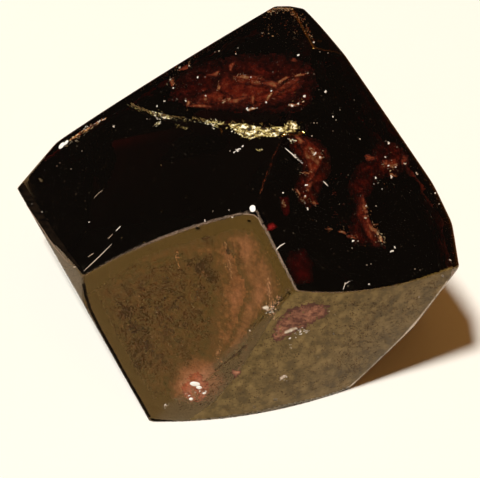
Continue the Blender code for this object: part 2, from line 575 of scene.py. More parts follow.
GARNET = garnet_material()
# the rust-red veils inside the stone; the same material also paints an orange glint along the left tip's edge
VEIL_AND_GLINT = toned("veil_rust_red_and_painted_glint", [(0.0, (0.006, 0.002, 0.001)), (0.3, (0.12, 0.016, 0.005)), (0.55, (0.40, 0.065, 0.016)),
                               (0.78, (0.62, 0.33, 0.11)), (1.0, (1.0, 0.84, 0.52))], 3400.0, 0.6, 0.2, 0.42)
# tan haze inside the stone; the same material also paints the pale glow around the sparkle low on the left
HAZE_AND_GLOW = toned("haze_tan_and_painted_glow", [(0.0, (0.008, 0.003, 0.001)), (0.35, (0.10, 0.029, 0.013)), (0.65, (0.46, 0.195, 0.105)),
                          (1.0, (1.0, 0.62, 0.42))], 3000.0, 0.6, 0.2, 0.36)
# a pink painted glow around the sparkle low on the left, near white at its brightest
SPARKLE_GLOW = toned("painted_sparkle_pink", [(0.0, (0.05, 0.010, 0.005)), (0.4, (0.62, 0.10, 0.05)), (0.75, (1.0, 0.36, 0.24)),
                                (1.0, (1.0, 0.90, 0.82))], 3600.0, 0.35, 0.6, 0.5)
RUST = toned("crack_limonite", [(0.0, (0.012, 0.007, 0.003)), (0.35, (0.16, 0.10, 0.02)), (0.6, (0.52, 0.43, 0.15)),
                                (0.8, (0.86, 0.76, 0.46)), (1.0, (1.0, 0.97, 0.86))], 4200.0, 0.75, 0.3)
GLOW = toned("glow_deep_red", [(0.0, (0.001, 0.0, 0.0)), (0.5, (0.22, 0.012, 0.012)), (1.0, (1.0, 0.08, 0.08))], 1500.0, 0.6,
             0.0, 0.12)
# painted shade: near-black film for the dark contact line, the dark edge reflections on the left and the shaded middle
# corner
PAINTED_SHADE = toned("painted_shade_black", [(0.0, (0.0015, 0.001, 0.0008)), (1.0, (0.03, 0.018, 0.010))], 4000.0, 0.9, 0.02, 0.1)
# painted reflection: the olive-brown of the floor mirrored in the lower right face
OLIVE_REFLECTION = toned("painted_reflection_olive_brown", [(0.0, (0.02, 0.010, 0.001)), (0.5, (0.112, 0.068, 0.011)), (1.0, (0.25, 0.162, 0.050))], 4000.0, 0.55,
             0.2, 0.35)
STAIN = toned("stain_brown", [(0.0, (0.016, 0.007, 0.002)), (0.5, (0.055, 0.026, 0.008)), (1.0, (0.20, 0.11, 0.04))], 4800.0, 0.7,
              0.15, 0.3)
# pale dust and lint; the same material also paints white highlights, pale reflection lines on the edges and dark
# contact shade crumbs
SPECKS_AND_PAINTED_LIGHT = toned("pale_specks_and_painted_light", [(0.0, (0.012, 0.006, 0.003)), (0.30, (0.26, 0.165, 0.115)), (0.55, (0.56, 0.44, 0.32)),
                           (1.0, (1.0, 0.98, 0.93))], 5200.0, 0.8, 0.3, 0.12)


# ------------------------------------------------------------------ the stone's mesh
def two_faces(points):
    """The two facets that each point belongs to most, and how evenly it is shared between them."""
    s = stands(points)
    order = np.argsort(-s, axis=1)[:, :2]
    top = np.take_along_axis(s, order, axis=1)
    ratio = np.exp((top[:, 1] - top[:, 0]) / EDGE_WEAR)
    return order, 2 * ratio / (1 + ratio)


SMUDGES = [  # outline in the frame's pixels, strength, softness in pixels
    ([(94, 292), (120, 272), (160, 258), (205, 262), (220, 292), (212, 330), (196, 362), (160, 392), (138, 372), (112, 330)],
     0.55, 24.0),
    ([(300, 300), (420, 290), (440, 280), (380, 345), (345, 388), (240, 408), (170, 418), (200, 392), (240, 358), (262, 322)],
     0.16, 20.0),
]


def finish(points):
    """How dull the polish is at points on the plain stone: smudges on the front, soft patches all round, rubbed edges."""
    order, even = two_faces(points)
    px = pixels_of(points)
    front = ((EYE - points) * facing(points)).sum(axis=1) > 0
    cloudy = grain3(points, 0.45, 3.1, 4)
    fine = grain3(points, 1.6, 8.2, 3)
    wear = np.where(front, 0.02, 0.10) * np.clip(1 + 2 * cloudy, 0, 3)
    for polygon, strength, soft in SMUDGES:
        some = front & inside_polygon(px, polygon)
        if some.any():
            wear[some] += strength * soft_mask(px[some], polygon, soft) * np.clip(0.75 + 1.3 * fine[some], 0, 1.6)
    hidden = ~front
    wear[hidden] += 0.30 * np.clip(even[hidden] * 1.6 - 0.5, 0, 1)
    return np.clip(wear, 0, 1)


stone = mesh_object("garnet_fine", POINTS, FACES, [GARNET], smooth=True, wear=finish(PLAIN))
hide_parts("garnet_crystal")
print("stone triangles", len(FACES))


# ------------------------------------------------------------------ what is inside and on the surface
def sealed(pixels, depth, view):
    """Points at a depth under the face, where the view's pixels look once they have entered the stone."""
    p, n, d, hit = seen(pixels, view)
    t = bent(d, n)
    return (p + t * np.asarray(depth)[:, None])[hit], n[hit], hit


class Bits:
    """Small closed bodies gathered into one mesh, each with a tone."""

    def __init__(self):
        self.verts, self.faces, self.tones, self.count = [], [], [], 0

    def add(self, verts, faces, tones):
        self.verts.append(np.asarray(verts, float))
        self.faces += [tuple(int(i) + self.count for i in f) for f in faces]
        self.tones.append(np.broadcast_to(np.asarray(tones, float), (len(verts),)))
        self.count += len(verts)

    def flakes(self, centres, normals, sizes, tones, rs, tilt=0.5, stretch=1.4, along=None, thick=0.3, sides=5):
        """Ragged flakes, one at each centre."""
        for c, n, size, tone in zip(centres, normals, sizes, tones):
            lean = n + rs.normal(0, tilt, 3)
            lean /= np.linalg.norm(lean)
            if along is None:
                a = rs.normal(size=3)
            else:
                a = along + rs.normal(0, 0.25, 3)
            a -= lean * (a @ lean)
            a /= np.linalg.norm(a)
            b = np.cross(lean, a)
            t = (np.arange(sides) + rs.uniform(-0.3, 0.3, sides)) * math.tau / sides
            r = size * rs.uniform(0.6, 1.0, sides)
            s = stretch * rs.uniform(0.85, 1.15)
            ring = (c + np.outer(r * np.cos(t) * s, a) + np.outer(r * np.sin(t) / s, b)
                    + np.outer(rs.uniform(-0.1, 0.1, sides) * size, lean))
            verts = np.concatenate([ring, [c + lean * size * thick, c - lean * size * thick]])
            faces = []
            for i in range(sides):
                j = (i + 1) % sides
                faces += [(i, j, sides), (j, i, sides + 1)]
            self.add(verts, faces, tone)

    def fibre(self, points, normals, radius, tone, lift=0.6):
        """A hair-thin tapered thread along points on the surface."""
        points = np.asarray(points) + np.asarray(normals) * radius * lift
        forward = np.gradient(points, axis=0)
        forward /= np.linalg.norm(forward, axis=1, keepdims=True)
        side = np.cross(forward, normals)
        side /= np.linalg.norm(side, axis=1, keepdims=True)
        up = np.cross(side, forward)
        n = len(points)
        r = radius * np.clip(np.sin(np.linspace(0.25, math.pi - 0.25, n)) * 1.3, 0.2, 1.0)
        verts, faces = [], []
        for k in range(4):
            t = math.tau * k / 4
            verts.append(points + side * (r * math.cos(t))[:, None] + up * (r * math.sin(t))[:, None])
        verts = np.concatenate(verts)
        for k in range(4):
            m = (k + 1) % 4
            for i in range(n - 1):
                faces.append((k * n + i, m * n + i, m * n + i + 1, k * n + i + 1))
        faces.append((0, 3 * n, 2 * n, n))
        faces.append((n - 1, 2 * n - 1, 3 * n - 1, 4 * n - 1))
        self.add(verts, faces, tone)

    def make(self, name, material):
        print(name, "faces", len(self.faces))
        return mesh_object(name, np.concatenate(self.verts), self.faces, [material], tone=np.concatenate(self.tones))


def sheet(bits, polygon, depth, seed, tone=(0.15, 0.65), soft=14.0, streak=(0.0, 22.0, 9.0), ragged=0.15, spots=0.0,
          view=None, step=1.3, rise=0.12, contrast=1.0, film=False):
    """A thin wavy veil under a face, palest in the middle of its outline and streaked along an angle.  A film lies on the face."""
    poly = np.array(polygon, float)
    low, high = poly.min(axis=0), poly.max(axis=0)
    nx, ny = (np.ceil((high - low) / step)).astype(int) + 1
    gx, gy = np.meshgrid(low[0] + np.arange(nx) * step, low[1] + np.arange(ny) * step)
    pix = np.stack([gx.ravel(), gy.ravel()], axis=1)
    mask = np.where(inside_polygon(pix, polygon), soft_mask(pix, polygon, soft), 0.0)
    t = math.radians(streak[0])
    u = (pix[:, 0] * math.cos(t) + pix[:, 1] * math.sin(t)) / streak[1]
    v = (pix[:, 1] * math.cos(t) - pix[:, 0] * math.sin(t)) / streak[2]
    flow = flat_grain(u, v, seed, 4)
    fine = flat_grain(u * 3.1, v * 3.1, seed + 5.0, 3)
    wide = flat_grain(pix[:, 0] / 30, pix[:, 1] / 30, seed + 9.0, 2)
    value = tone[0] + (tone[1] - tone[0]) * np.clip(0.5 + contrast * (1.1 * flow + 0.4 * fine), 0, 1.3)
    value = value * mask ** 0.8 + spots * np.clip(fine * 4 - 1.6, 0, 1) * mask
    deep = depth[0] + (depth[1] - depth[0]) * np.clip(0.5 - 0.9 * flow, 0, 1) + 0.5 * rise * wide - rise * 0.4 * fine
    deep = np.maximum(deep, 0.03)
    keep = mask * (1 + 1.2 * fine) > ragged
    p, n, _d, hit = seen(pix, view)
    keep &= hit
    if view is not None:
        keep &= ((EYE - p) * n).sum(axis=1) < -12.0
    inner = bent(_d, n)
    top = p + inner * deep[:, None]
    under = p + inner * (deep + 0.05)[:, None]
    if film:
        top, under = p + n * (0.008 if film is True else film), p - n * 0.012
    grid = keep.reshape(ny, nx)
    cell = grid[:-1, :-1] & grid[1:, :-1] & grid[:-1, 1:] & grid[1:, 1:]
    ys, xs = np.nonzero(cell)
    a = ys * nx + xs
    quads = np.stack([a, a + nx, a + nx + 1, a + 1], axis=1)
    if not len(quads):
        return
    used, back = np.unique(quads, return_inverse=True)
    quads = back.reshape(-1, 4)
    k = len(used)
    ring = np.concatenate([quads[:, [i, (i + 1) % 4]] for i in range(4)])
    there = {(int(i), int(j)) for i, j in ring}
    walls = [(j, i, i + k, j + k) for i, j in there if (j, i) not in there]
    faces = quads.tolist() + (quads[:, ::-1] + k).tolist() + sorted(walls)
    bits.add(np.concatenate([top[used], under[used]]), faces, np.concatenate([value[used]] * 2))


def blob(bits, x, y, rx, ry, turn, tone, seed, depth=(0.05, 0.16), ragged=0.18, film=False):
    """A soft-edged patch of a veil, round or drawn out along an angle."""
    t = math.radians(turn)
    outline = []
    for i in range(12):
        a = math.tau * i / 12
        r = 1.0 + 0.16 * math.sin(3 * a + seed) + 0.12 * math.sin(5 * a + 2 * seed)
        u, v = rx * r * math.cos(a), ry * r * math.sin(a)
        outline.append((x + u * math.cos(t) - v * math.sin(t), y + u * math.sin(t) + v * math.cos(t)))
    sheet(bits, outline, depth, seed, tone, max(min(rx, ry) * 0.9, 1.0), (turn, 6, 3), ragged, 0.0, None, 0.7, 0.03, 1.2, film)


def ribbon(line, width):
    """The outline of a broken line that has a width."""
    line = np.array(line, float)
    run = np.gradient(line, axis=0)
    run /= np.linalg.norm(run, axis=1, keepdims=True)
    side = np.stack([-run[:, 1], run[:, 0]], axis=1) * width / 2
    return np.concatenate([line + side, (line - side)[::-1]]).tolist()


def highlight_bead(bits, x, y, rx, ry, turn, tone):
    """A painted highlight: a smooth bright bead on the surface, standing in for a lamp's glint on a rounded edge."""
    p, n, _d, hit = seen(np.array([[x, y]], float))
    if not hit.any():
        return
    p, n = p[0], n[0]
    a = RIGHT - n * (RIGHT @ n)
    a /= np.linalg.norm(a)
    b = np.cross(n, a)
    t = -math.radians(turn)
    a, b = a * math.cos(t) + b * math.sin(t), b * math.cos(t) - a * math.sin(t)
    verts, faces, k = [p + n * 0.05], [], 16
    for r, lift in ((0.62, 0.035), (1.0, -0.01)):
        for i in range(k):
            q = math.tau * i / k
            verts.append(p + a * (rx * 0.059 * r * math.cos(q)) + b * (ry * 0.059 * r * math.sin(q)) + n * lift)
    verts.append(p - n * 0.03)
    for i in range(k):
        j = (i + 1) % k
        faces += [(0, 1 + i, 1 + j), (1 + i, 1 + k + i, 1 + k + j, 1 + j), (1 + k + i, 2 * k + 1, 1 + k + j)]
    bits.add(verts, faces, tone)


def dots(bits, spots, seed, depth=-0.01, spread=0.7, view=None):
    """Single specks: pixel x, pixel y, half size in pixels, tone."""
    rs = np.random.default_rng(seed)
    for x, y, size, tone in spots:
        count = 1 + int(size > 1.2) * 2
        pix = np.array([[x, y]]) + rs.normal(0, spread * size * 0.5, (count, 2)) * (np.arange(count) > 0)[:, None]
        p, n, hit = sealed(pix, np.full(count, depth), view)
        bits.flakes(p, n, np.full(len(p), size * 0.041) * rs.uniform(0.7, 1.0, len(p)), np.full(len(p), tone * 0.80), rs,
                    tilt=0.25, stretch=1.15, thick=0.45, sides=6)


def stroke(bits, pixels, width, count, tone, depth, seed, size=(0.03, 0.07), view=None, tilt=0.4):
    """A streak of flakes along a broken line, thickest in the middle."""
    rs = np.random.default_rng(seed)
    line = chain(pixels, 0.5)
    at = rs.integers(0, len(line), count)
    share = np.sin(math.pi * (at + 0.5) / len(line)) ** 0.5
    pix = line[at] + rs.normal(0, 1, (count, 2)) * (width / 2 * share)[:, None]
    p, n, hit = sealed(pix, rs.uniform(depth[0], depth[1], count), view)
    tones = rs.uniform(tone[0], tone[1], count)[hit]
    sizes = rs.uniform(size[0], size[1], count)[hit]
    run = np.array(pixels[-1], float) - np.array(pixels[0], float)
    run /= np.hypot(*run)
    view_ = view or FRONT
    along = view_.right * run[0] - view_.up * run[1]
    bits.flakes(p, n, sizes, tones, rs, tilt=tilt, stretch=1.5, along=along)


def patch(bits, polygon, count, tone, depth, seed, size=(0.03, 0.08), holes=-0.1, scale=9.0, view=None, soft=6.0, tilt=0.5):
    """Flakes scattered over an outline, clumped, thinning out towards its edge."""
    rs = np.random.default_rng(seed)
    poly = np.array(polygon, float)
    pix = rs.uniform(poly.min(axis=0), poly.max(axis=0), (count * 7, 2))
    pix = pix[inside_polygon(pix, polygon)]
    clump = flat_grain(pix[:, 0] / scale, pix[:, 1] / scale, seed * 1.7, 3)
    chosen = (clump + rs.normal(0, 0.10, len(pix)) > holes) & (rs.random(len(pix)) < soft_mask(pix, polygon, soft) + 0.1)
    pix, clump = pix[chosen][:count], clump[chosen][:count]
    p, n, hit = sealed(pix, rs.uniform(depth[0], depth[1], len(pix)), view)
    clump = clump[hit]
    if view is not None:
        away = ((EYE - p) * n).sum(axis=1) < -6.0
        p, n, clump = p[away], n[away], clump[away]
    sizes = size[0] + (size[1] - size[0]) * rs.random(len(p)) ** 2
    tones = tone[0] + (tone[1] - tone[0]) * np.clip(0.5 + 1.2 * clump + rs.normal(0, 0.22, len(p)), 0, 1)
    bits.flakes(p, n, sizes, tones, rs, tilt=tilt)


FRONT = PhotoView()
red, tan, sparkle_glow, rust, specks_and_painted_light, stain, glow, film, painted_shade = (Bits() for _ in range(9))

# -- the rusty red veils under the upper left face
sheet(red, [(160, 104), (166, 82), (182, 66), (205, 56), (240, 48), (282, 48), (318, 60), (324, 84), (316, 108), (300, 118),
            (250, 120), (200, 116)], (0.5, 1.0), 1, (0.17, 0.42), 26, (-8, 14, 8), 0.10)
sheet(red, [(178, 108), (186, 94), (212, 84), (220, 68), (238, 70), (262, 74), (284, 76), (300, 70), (312, 68), (306, 90),
            (304, 98), (288, 106), (262, 112), (215, 114)], (0.25, 0.6), 2, (0.36, 0.60), 14, (-12, 12, 6), 0.10, 0.05)
sheet(red, [(186, 104), (200, 92), (216, 86), (232, 92), (240, 100), (222, 106), (200, 108)], (0.15, 0.4), 3, (0.3, 0.62), 7,
      (-15, 7, 4), 0.2, 0.25)
sheet(red, [(228, 72), (262, 72), (270, 82), (262, 90), (240, 86), (228, 80)], (0.15, 0.35), 4, (0.32, 0.68), 6, (10, 7, 4),
      0.2, 0.3)
sheet(red, [(270, 92), (284, 80), (300, 72), (308, 72), (302, 82), (290, 90), (276, 98)], (0.12, 0.3), 5, (0.32, 0.66), 5,
      (-35, 7, 4), 0.2, 0.3)
stroke(red, [(232, 78), (246, 76)], 4, 17, (0.72, 1.0), (0.02, 0.12), 101, (0.02, 0.06))
stroke(red, [(250, 78), (262, 84)], 4, 12, (0.7, 1.0), (0.02, 0.12), 102, (0.02, 0.05))
stroke(red, [(308, 73), (296, 76), (282, 82), (276, 86)], 4, 28, (0.65, 0.95), (0.02, 0.12), 103, (0.02, 0.05))
stroke(red, [(222, 101), (231, 98)], 3, 14, (0.75, 1.0), (0.01, 0.08), 104, (0.02, 0.06))
stroke(red, [(186, 99), (192, 104), (187, 110)], 4, 11, (0.6, 0.9), (0.02, 0.1), 105, (0.02, 0.05))
stroke(red, [(219, 82), (217, 92)], 3, 9, (0.6, 0.9), (0.02, 0.1), 106, (0.02, 0.05))
stroke(red, [(170, 78), (174, 88)], 6, 16, (0.6, 1.0), (0.02, 0.1), 107, (0.02, 0.06))
stroke(red, [(176, 70), (190, 64)], 6, 17, (0.6, 1.0), (0.02, 0.1), 108, (0.02, 0.06))
stroke(red, [(252, 92), (253, 104), (251, 108)], 6, 14, (0.5, 0.8), (0.05, 0.2), 109, (0.02, 0.05))
stroke(red, [(290, 105), (304, 102)], 6, 21, (0.6, 1.0), (0.01, 0.1), 110, (0.02, 0.06))
patch(red, [(165, 70), (300, 60), (312, 104), (190, 112)], 70, (0.5, 0.9), (0.02, 0.25), 13, (0.015, 0.045), 0.0, 9)
patch(red, [(150, 60), (240, 30), (330, 40), (340, 110), (300, 118), (200, 118), (150, 108)], 70, (0.35, 0.7), (0.02, 0.6), 14,
      (0.015, 0.04), -0.1, 14)
for k, (x, y, rx, ry, turn, low, high) in enumerate((
        (242, 77, 11, 3.4, 4, 0.56, 0.76), (257, 82, 4, 2.6, 20, 0.55, 0.78), (206, 98, 3.4, 5, 20, 0.54, 0.76),
        (188, 103, 3.2, 6, 10, 0.52, 0.72), (219, 88, 3, 5, 10, 0.50, 0.70), (226, 100, 8, 2.6, -15, 0.55, 0.78),
        (253, 99, 3, 8, 5, 0.46, 0.66), (269, 97, 9, 3, -58, 0.54, 0.78), (283, 80, 10, 3, -32, 0.55, 0.78),
        (300, 75, 9, 2.4, -12, 0.50, 0.72), (293, 105, 7, 3, -5, 0.60, 0.88), (172, 83, 3.4, 7, -8, 0.48, 0.72),
        (184, 68, 8, 3.6, -25, 0.48, 0.70), (232, 66, 4, 8, 30, 0.36, 0.52), (294, 60, 5, 3.6, 0, 0.38, 0.58),
        (252, 109, 7, 2.6, -14, 0.72, 1.0), (162, 70, 6, 4, -30, 0.42, 0.62), (236, 100, 14, 5, -10, 0.40, 0.58),
        (214, 74, 9, 4, -15, 0.36, 0.54), (270, 84, 12, 5, 10, 0.42, 0.6), (200, 106, 16, 3, 2, 0.42, 0.6))):
    blob(red, x, y, rx, ry, turn, (low + 0.10, high + 0.12), 300 + k, (0.04, 0.10))

# -- the veils under the upper right face
sheet(red, [(284, 132), (302, 132), (322, 138), (332, 152), (334, 172), (324, 188), (320, 206), (308, 212), (296, 202),
            (292, 186), (300, 168), (288, 150)], (0.4, 1.0), 21, (0.22, 0.50), 10, (60, 10, 6), 0.08)
sheet(red, [(290, 134), (308, 136), (322, 146), (326, 158), (320, 172), (310, 190), (300, 188), (306, 170), (300, 152)],
      (0.15, 0.45), 22, (0.42, 0.72), 6, (60, 8, 5), 0.12, 0.1)
sheet(red, [(378, 138), (400, 140), (414, 158), (410, 172), (394, 180), (380, 182), (370, 200), (366, 220), (384, 240),
            (392, 252), (376, 250), (350, 248), (346, 226), (352, 206), (344, 188), (352, 166), (366, 154)], (0.6, 1.3), 23,
      (0.14, 0.42), 12, (75, 12, 7), 0.06)
sheet(red, [(380, 158), (398, 156), (402, 166), (392, 172), (378, 170)], (0.15, 0.4), 24, (0.4, 0.65), 5, (10, 12, 5), 0.15, 0.2)
sheet(red, [(356, 196), (366, 190), (370, 214), (380, 236), (384, 250), (372, 248), (362, 232), (354, 214)], (0.25, 0.5), 25,
      (0.32, 0.60), 6, (75, 16, 6), 0.12, 0.15)
stroke(specks_and_painted_light, [(292, 154), (300, 161), (302, 163)], 1.6, 26, (0.5, 0.9), (-0.01, 0.03), 121, (0.025, 0.05))
stroke(red, [(309, 148), (314, 154), (320, 158), (322, 150)], 4, 28, (0.75, 1.0), (0.01, 0.08), 122, (0.02, 0.06))
stroke(red, [(300, 173), (306, 174), (312, 171)], 3, 20, (0.7, 1.0), (0.01, 0.08), 123, (0.02, 0.05))
stroke(red, [(293, 189), (297, 196), (304, 202)], 2.5, 17, (0.6, 0.95), (0.01, 0.08), 124, (0.02, 0.05))
stroke(red, [(308, 200), (318, 204)], 4, 16, (0.5, 0.85), (0.02, 0.12), 125, (0.02, 0.05))
stroke(red, [(379, 231), (376, 237), (380, 243), (384, 240), (381, 233)], 3, 36, (0.78, 1.0), (0.0, 0.06), 126, (0.025, 0.06))
stroke(red, [(372, 222), (378, 232)], 4, 24, (0.6, 0.95), (0.01, 0.08), 127, (0.02, 0.06))
stroke(red, [(366, 204), (368, 218)], 4, 21, (0.55, 0.9), (0.01, 0.1), 128, (0.02, 0.05))
stroke(red, [(340, 229), (350, 234), (358, 238)], 4, 20, (0.55, 0.9), (0.01, 0.1), 129, (0.02, 0.05))
stroke(red, [(326, 228), (332, 230)], 2.5, 18, (0.6, 0.9), (0.01, 0.06), 130, (0.02, 0.04))
stroke(red, [(384, 164), (392, 168), (397, 164)], 6, 28, (0.7, 1.0), (0.0, 0.08), 131, (0.02, 0.06))
patch(red, [(296, 136), (326, 142), (330, 168), (314, 206), (296, 200), (302, 170)], 60, (0.5, 0.9), (0.02, 0.2), 26,
      (0.015, 0.045), -0.05, 7)
patch(red, [(362, 150), (410, 146), (412, 176), (376, 196), (372, 226), (396, 252), (346, 248), (350, 190)], 60, (0.4, 0.8),
      (0.02, 0.3), 27, (0.015, 0.04), -0.05, 8)
patch(red, [(326, 170), (352, 172), (350, 226), (330, 232)], 60, (0.15, 0.4), (0.1, 0.6), 28, (0.02, 0.05), -0.05, 8)
stroke(red, [(279, 144), (273, 158), (266, 176), (260, 193)], 1.2, 90, (0.30, 0.6), (0.01, 0.05), 132, (0.02, 0.04))
for k, (x, y, rx, ry, turn, low, high) in enumerate((
        (313, 152, 7, 3.2, 40, 0.62, 0.92), (320, 158, 4.5, 3, 0, 0.62, 0.95), (306, 173, 6, 2.2, 10, 0.56, 0.84),
        (298, 192, 7, 2.4, 55, 0.55, 0.85), (305, 197, 3.6, 3, 0, 0.56, 0.85), (315, 203, 5, 2.4, 10, 0.44, 0.66),
        (376, 232, 3, 6, -30, 0.58, 0.86), (381, 239, 3, 6, -30, 0.62, 0.92), (342, 232, 6, 2.4, 12, 0.50, 0.78),
        (329, 229, 3, 1.8, 0, 0.5, 0.78), (386, 163, 5, 5, 30, 0.50, 0.80), (393, 175, 6, 2.6, 20, 0.50, 0.78),
        (365, 217, 2.8, 4, 0, 0.52, 0.8), (300, 140, 9, 5, 35, 0.40, 0.60), (309, 186, 5, 9, 15, 0.42, 0.62),
        (364, 205, 4, 12, -10, 0.36, 0.56), (370, 226, 3.4, 9, -25, 0.42, 0.66), (352, 237, 8, 3, 15, 0.36, 0.58),
        (370, 158, 8, 5, 10, 0.34, 0.54), (404, 160, 5, 8, 20, 0.30, 0.50))):
    blob(red, x, y, rx, ry, turn, (low + 0.09, high + 0.12), 330 + k, (0.04, 0.10))
# deep red lights close to the middle corner
sheet(glow, [(282, 268), (288, 248), (306, 246), (316, 262), (314, 284), (296, 288)], (0.5, 0.8), 29, (0.15, 0.6), 18,
      (60, 22, 16), 0.01)
sheet(glow, [(278, 196), (290, 194), (292, 212), (286, 220), (280, 212)], (0.5, 0.9), 30, (0.30, 0.55), 7, (80, 16, 12), 0.03)
blob(glow, 271, 227, 7.5, 5, -25, (0.75, 1.0), 31, (0.3, 0.4), 0.05)
stroke(red, [(283, 201), (284, 206)], 2.5, 30, (0.7, 0.95), (0.05, 0.12), 134, (0.03, 0.05))

# -- golden streaks about the peak
stroke(red, [(268, 12), (278, 9), (292, 9)], 4, 90, (0.6, 1.0), (0.0, 0.08), 141, (0.02, 0.06))
stroke(red, [(286, 8), (298, 16), (306, 26), (313, 40)], 3, 90, (0.5, 0.9), (0.0, 0.08), 142, (0.02, 0.05))
stroke(red, [(262, 33), (274, 36)], 3, 16, (0.5, 0.9), (0.0, 0.05), 143, (0.02, 0.05))
patch(red, [(262, 8), (296, 6), (318, 40), (290, 44), (258, 30)], 110, (0.35, 0.85), (0.0, 0.2), 144, (0.015, 0.04), -0.05, 8)

# -- the rusty crack across the top
for k, (outline, low, high, ragged) in enumerate((
        ([(224, 122), (246, 122), (262, 126), (284, 125), (287, 119), (297, 120), (300, 128), (296, 134), (282, 135), (276, 139),
          (262, 138), (250, 141), (240, 138), (232, 131)], 0.0, 0.92, 0.50),
        ([(196, 118), (224, 121), (230, 126), (222, 127), (198, 123)], 0.1, 0.7, 0.8),
        ([(240, 128), (266, 130), (284, 131), (276, 136), (256, 138), (242, 134)], 0.35, 0.95, 0.40))):
    sheet(rust, outline, (0.03, 0.05), 400 + k, (low, high), 2.6, (4, 5, 3.0), ragged, 0.0, None, 0.6, 0.02, 1.7, k != 2)
sheet(rust, ribbon([(128, 105), (140, 110), (152, 115), (168, 118), (190, 120), (210, 121)], 1.8), (0.03, 0.04), 404, (0.0, 0.7), 0.7,
      (10, 6, 3), 0.95, 0.0, None, 0.6, 0.02, 1.7, True)
patch(rust, [(196, 119), (225, 121), (245, 122), (262, 125), (284, 124), (288, 118), (297, 119), (301, 128), (304, 135), (292, 137),
             (283, 136), (276, 141), (262, 139), (250, 142), (240, 140), (231, 132), (222, 128), (200, 124)], 70, (0.0, 0.8),
      (-0.01, 0.05), 41, (0.03, 0.085), 0.02, 3.6, None, 3.0, 0.5)
patch(rust, [(226, 122), (262, 126), (284, 126), (284, 135), (262, 138), (240, 138), (230, 130)], 24, (0.3, 0.95),
      (-0.03, 0.01), 42, (0.04, 0.09), 0.03, 4.5, None, 3.0, 0.4)
stroke(rust, [(128, 105), (147, 113), (160, 117), (190, 120), (226, 124)], 2.6, 100, (0.10, 0.85), (-0.01, 0.04), 43, (0.014, 0.040))
stroke(rust, [(150, 112), (168, 118)], 4.0, 36, (0.4, 0.95), (-0.015, 0.02), 44, (0.03, 0.07))
stroke(rust, [(153, 127), (161, 122)], 1.8, 26, (0.6, 0.95), (-0.01, 0.02), 45, (0.03, 0.05))
stroke(rust, [(206, 122), (218, 126)], 4.5, 36, (0.5, 1.0), (-0.015, 0.02), 46, (0.03, 0.06))
stroke(rust, [(176, 126), (188, 128)], 3.0, 26, (0.3, 0.6), (-0.01, 0.02), 47, (0.02, 0.05))
stroke(specks_and_painted_light, [(234, 152), (240, 149)], 2.0, 10, (0.8, 1.0), (-0.02, 0.01), 48, (0.04, 0.07))
stroke(rust, [(262, 150), (256, 149)], 2.5, 16, (0.5, 0.8), (-0.01, 0.02), 49, (0.03, 0.05))
stroke(rust, [(288, 139), (296, 141)], 2.0, 24, (0.6, 1.0), (-0.01, 0.02), 50, (0.03, 0.05))

# -- the left tip and the middle corner: painted highlights as white beads, and an orange painted glint along the left tip's edge
highlight_bead(specks_and_painted_light, 61.5, 145.6, 4.8, 2.5, -32, 1.3)
highlight_bead(specks_and_painted_light, 66.0, 142.6, 3.6, 1.7, -32, 1.3)
highlight_bead(specks_and_painted_light, 252.5, 208.5, 3.6, 3.3, -10, 1.3)
stroke(red, [(70, 140), (84, 131), (96, 124), (106, 118)], 2.2, 150, (0.5, 0.95), (-0.01, 0.05), 52, (0.03, 0.06))
stroke(specks_and_painted_light, [(84, 129), (104, 119)], 1.6, 18, (0.7, 1.0), (-0.01, 0.0), 53, (0.03, 0.06))

# -- tan haze, brown clouds and flecks under the two lower faces
sheet(tan, [(90, 288), (128, 262), (170, 246), (212, 240), (232, 262), (226, 300), (212, 350), (184, 392), (152, 404), (120, 350)],
      (0.4, 0.9), 61, (0.10, 0.34), 30, (-20, 9, 6), 0.03, 0.05)
sheet(tan, [(128, 256), (180, 238), (236, 223), (257, 225), (272, 248), (290, 292), (268, 317), (252, 344), (226, 368), (196, 374), (200, 340),
            (206, 300), (204, 268), (176, 262), (140, 272)], (0.16, 0.36), 62, (0.46, 0.74), 36, (78, 22, 9), 0.05, 0.03, contrast=1.0)
sheet(tan, [(214, 232), (240, 223), (258, 226), (272, 248), (291, 291), (268, 317), (251, 346), (228, 366), (208, 370), (226, 330), (238, 290),
            (226, 262)], (0.10, 0.14), 94, (0.44, 0.70), 20, (78, 20, 8), 0.30, 0.03, contrast=0.9)
# painted glow: a pale tan halo and a pink sheet around the sparkle low on the left
sheet(tan, [(158, 386), (170, 356), (196, 344), (222, 352), (238, 382), (226, 404), (196, 414), (166, 408)], (0.10, 0.25), 63,
      (0.70, 0.94), 30, (20, 16, 12), 0.16, 0.0, contrast=0.4)
sheet(sparkle_glow, [(176, 386), (184, 372), (197, 366), (210, 374), (216, 390), (206, 404), (192, 408), (180, 400)], (0.06, 0.2), 97,
      (0.34, 0.78), 12, (20, 8, 7), 0.30, 0.1, None, 0.8, contrast=0.7)
sheet(tan, [(292, 292), (330, 296), (360, 300), (352, 322), (318, 346), (280, 372), (248, 372), (252, 344), (272, 316)],
      (0.2, 0.45), 64, (0.40, 0.66), 26, (-30, 12, 7), 0.03, 0.06, contrast=0.8)
sheet(tan, [(340, 300), (400, 292), (444, 276), (420, 310), (380, 344), (346, 384), (290, 398), (250, 402), (262, 378), (320, 346)],
      (0.5, 1.1), 65, (0.05, 0.28), 26, (-30, 12, 7), 0.03, 0.08)
patch(tan, [(96, 286), (160, 254), (222, 246), (214, 350), (156, 402)], 420, (0.35, 1.0), (0.0, 0.25), 66, (0.012, 0.030), -0.15, 12)
